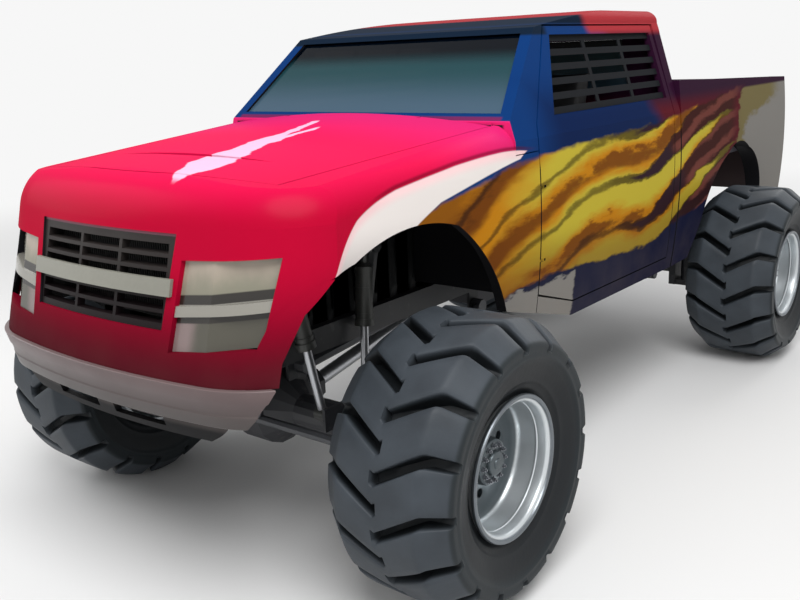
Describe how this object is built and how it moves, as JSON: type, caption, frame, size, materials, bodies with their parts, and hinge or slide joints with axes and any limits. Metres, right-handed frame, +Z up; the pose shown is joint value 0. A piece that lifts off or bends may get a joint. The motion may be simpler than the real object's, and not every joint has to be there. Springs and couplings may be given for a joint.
{
  "type": "monster truck",
  "caption": "Pickup-bodied monster truck on oversized chevron-lugged tyres, with four-link axles, steering front and rear, opening doors, bonnet and tailgate.",
  "frame": {"origin": "on the ground under the middle of the overall box", "axes": "+X to the truck's left, +Y towards the tail, +Z up; the front faces -Y"},
  "size_m": [2.926, 6.05, 2.494],
  "materials": {
    "bodywork_red": "gloss paint",
    "bodywork_blue": "gloss paint",
    "bodywork_dark": "gloss paint",
    "bumper_grey": "satin paint",
    "trim_black": "moulded",
    "grille_dark": "moulded",
    "bar_pale": "satin paint",
    "lamp": "clear",
    "tail_lamp": "clear red",
    "glass": "tinted",
    "net": "woven strap",
    "bed_liner": "satin paint",
    "seat": "vinyl",
    "frame_paint": "satin paint",
    "engine_block": "painted",
    "axle_paint": "painted",
    "bright_steel": "ground",
    "link_steel": "satin paint",
    "shock_body": "gloss paint",
    "rubber_tread": "moulded",
    "wheel_silver": "satin"
  },
  "bodies": {
    "truck": {"nose": "bodywork_red", "grille": "grille_dark", "grille_bar": "bar_pale", "headlamp_left": "lamp", "headlamp_right": "lamp", "front_bumper": "bumper_grey", "front_valance": "trim_black", "wing_left": "bodywork_red", "wing_right": "bodywork_red", "cab": "bodywork_blue", "windscreen": "glass", "rear_window": "glass", "bedside_left": "bodywork_dark", "bedside_right": "bodywork_dark", "tail_lamps": "tail_lamp", "bed": "bed_liner", "rear_panel": "bumper_grey", "driver_seat": "seat", "dashboard": "trim_black", "frame": "frame_paint", "engine": "engine_block", "drive_shafts": "bright_steel", "suspension_links": "link_steel", "shocks": "shock_body", "axle_front": "axle_paint", "axle_rear": "axle_paint"},
    "bonnet": {"bonnet": "bodywork_red"},
    "tailgate": {"tailgate": "bodywork_dark"},
    "door_left": {"door_left": "bodywork_blue", "window_net_left": "net"},
    "door_right": {"door_right": "bodywork_blue", "window_net_right": "net"},
    "knuckle_front_left": {"knuckle_front_left": "axle_paint"},
    "knuckle_front_right": {"knuckle_front_right": "axle_paint"},
    "tie_rod_front": {"tie_rod_front": "link_steel"},
    "ram_rod_front": {"steering_ram_rod_front": "bright_steel"},
    "wheel_front_left": {"wheel_front_left": "wheel_silver", "tyre_front_left": "rubber_tread"},
    "wheel_front_right": {"wheel_front_right": "wheel_silver", "tyre_front_right": "rubber_tread"},
    "knuckle_rear_left": {"knuckle_rear_left": "axle_paint"},
    "knuckle_rear_right": {"knuckle_rear_right": "axle_paint"},
    "tie_rod_rear": {"tie_rod_rear": "link_steel"},
    "ram_rod_rear": {"steering_ram_rod_rear": "bright_steel"},
    "wheel_rear_left": {"wheel_rear_left": "wheel_silver", "tyre_rear_left": "rubber_tread"},
    "wheel_rear_right": {"wheel_rear_right": "wheel_silver", "tyre_rear_right": "rubber_tread"}
  },
  "joints": [
    {"name": "bonnet_hinge", "type": "hinge", "parent": "truck", "child": "bonnet", "pos_m": [0, -1.31, 1.958], "axis": [-1, 0, 0], "range_deg": [0, 50]},
    {"name": "tailgate_hinge", "type": "hinge", "parent": "truck", "child": "tailgate", "pos_m": [0, 2.9975, 1.4475], "axis": [-1, 0, 0], "range_deg": [0, 90]},
    {"name": "door_left_hinge", "type": "hinge", "parent": "truck", "child": "door_left", "pos_m": [0.972, -1.012, 1.435], "axis": [0, 0, -1], "range_deg": [0, 60]},
    {"name": "door_right_hinge", "type": "hinge", "parent": "truck", "child": "door_right", "pos_m": [-0.972, -1.012, 1.435], "axis": [0, 0, 1], "range_deg": [0, 60]},
    {"name": "front_steering", "type": "hinge", "parent": "truck", "child": "knuckle_front_left", "pos_m": [0.7, -2.01, 0.62], "axis": [0, 0, 1], "range_deg": [-22, 22]},
    {"name": "front_steering_right", "type": "hinge", "parent": "truck", "child": "knuckle_front_right", "pos_m": [-0.7, -2.01, 0.62], "axis": [0, 0, 1], "range_deg": [-22, 22]},
    {"name": "front_tie_rod_pivot", "type": "hinge", "parent": "knuckle_front_left", "child": "tie_rod_front", "pos_m": [0.7, -2.28, 0.662], "axis": [0, 0, 1], "range_deg": [-22, 22]},
    {"name": "front_ram_rod_slide", "type": "slide", "parent": "truck", "child": "ram_rod_front", "axis": [1, 0, 0], "range_m": [-0.104, 0.104]},
    {"name": "wheel_front_left_spin", "type": "hinge", "parent": "knuckle_front_left", "child": "wheel_front_left", "pos_m": [1.158, -2.01, 0.62], "axis": [1, 0, 0], "continuous": true},
    {"name": "wheel_front_right_spin", "type": "hinge", "parent": "knuckle_front_right", "child": "wheel_front_right", "pos_m": [-1.158, -2.01, 0.62], "axis": [1, 0, 0], "continuous": true},
    {"name": "rear_steering", "type": "hinge", "parent": "truck", "child": "knuckle_rear_right", "pos_m": [-0.7, 1.82, 0.62], "axis": [0, 0, 1], "range_deg": [-22, 22]},
    {"name": "rear_steering_left", "type": "hinge", "parent": "truck", "child": "knuckle_rear_left", "pos_m": [0.7, 1.82, 0.62], "axis": [0, 0, 1], "range_deg": [-22, 22]},
    {"name": "rear_tie_rod_pivot", "type": "hinge", "parent": "knuckle_rear_right", "child": "tie_rod_rear", "pos_m": [-0.7, 2.09, 0.662], "axis": [0, 0, 1], "range_deg": [-22, 22]},
    {"name": "rear_ram_rod_slide", "type": "slide", "parent": "truck", "child": "ram_rod_rear", "axis": [1, 0, 0], "range_m": [-0.104, 0.104]},
    {"name": "wheel_rear_left_spin", "type": "hinge", "parent": "knuckle_rear_left", "child": "wheel_rear_left", "pos_m": [1.158, 1.82, 0.62], "axis": [1, 0, 0], "continuous": true},
    {"name": "wheel_rear_right_spin", "type": "hinge", "parent": "knuckle_rear_right", "child": "wheel_rear_right", "pos_m": [-1.158, 1.82, 0.62], "axis": [1, 0, 0], "continuous": true}
  ],
  "couplings": [
    {"joint": "front_steering_right", "follows": "front_steering", "ratio": 1},
    {"joint": "front_tie_rod_pivot", "follows": "front_steering", "ratio": -1},
    {"joint": "front_ram_rod_slide", "follows": "front_steering", "m_per_rad": 0.27},
    {"joint": "rear_steering_left", "follows": "rear_steering", "ratio": 1},
    {"joint": "rear_tie_rod_pivot", "follows": "rear_steering", "ratio": -1},
    {"joint": "rear_ram_rod_slide", "follows": "rear_steering", "m_per_rad": -0.27}
  ]
}
